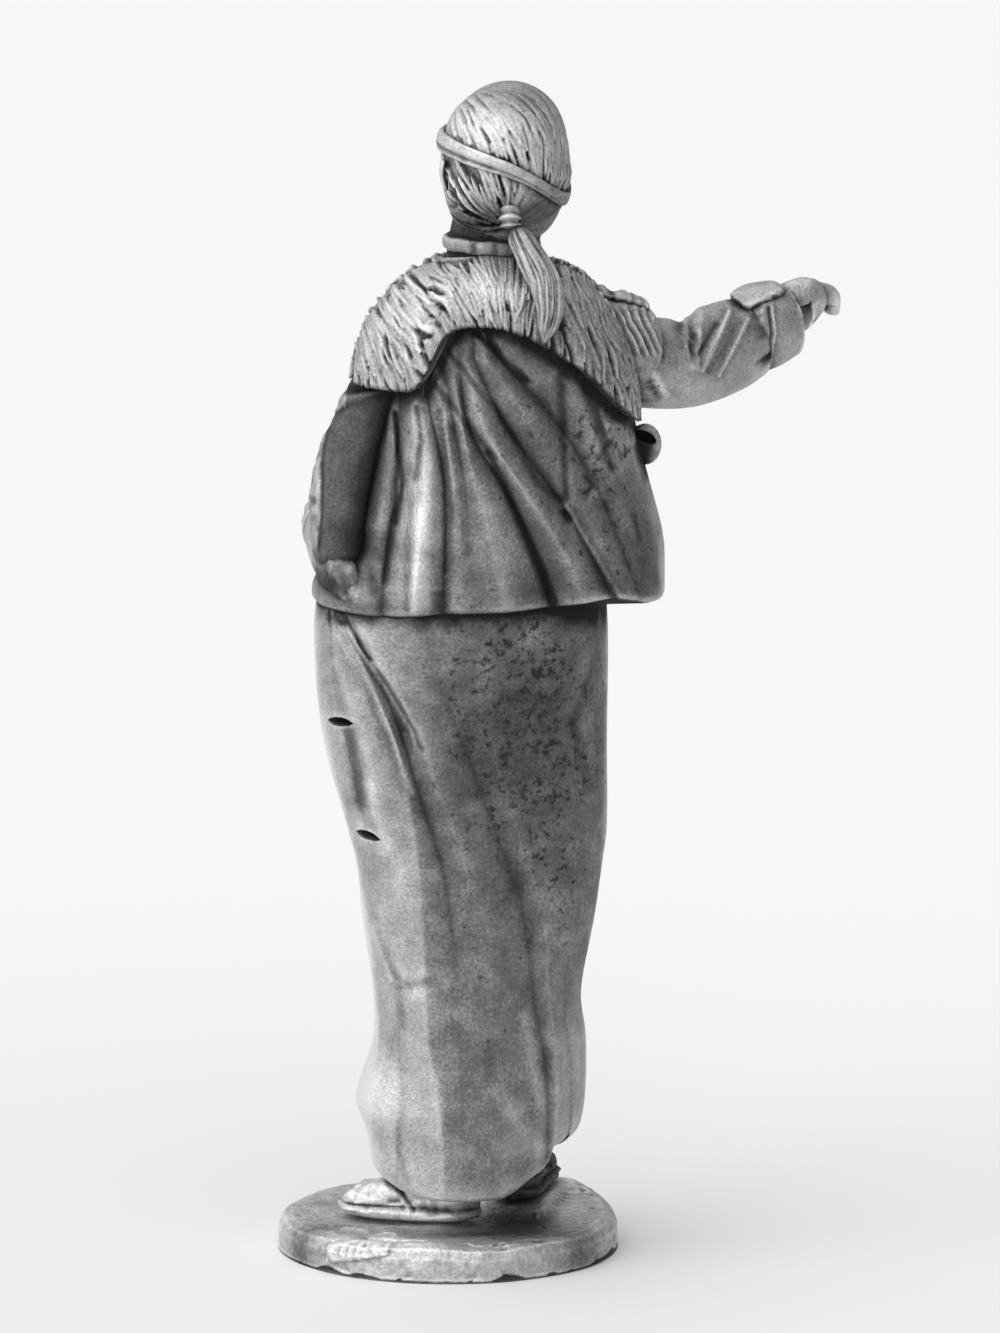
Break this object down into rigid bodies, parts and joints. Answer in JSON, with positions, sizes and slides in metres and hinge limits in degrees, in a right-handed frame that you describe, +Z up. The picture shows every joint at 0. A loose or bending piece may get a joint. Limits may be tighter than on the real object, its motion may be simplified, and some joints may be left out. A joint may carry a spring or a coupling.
{
  "type": "military figurine",
  "caption": "Small cast-tin officer in a long greatcoat, short cape and fur collar, one arm pointing forward, standing on its own low round base.",
  "frame": {"origin": "centre of the base's flat underside", "axes": "+Z up; the officer faces -Y, with their right arm towards -X, and the picture looks at their back from +Y"},
  "size_m": [0.029, 0.0184, 0.06],
  "materials": {
    "figure_tin": "old cast tin alloy, dull grey patina in the hollows and bright worn edges",
    "base_tin": "old cast tin alloy, brighter than the figure, worn and pitted"
  },
  "bodies": {
    "root": {"figure": "figure_tin", "base": "base_tin"}
  },
  "joints": []
}
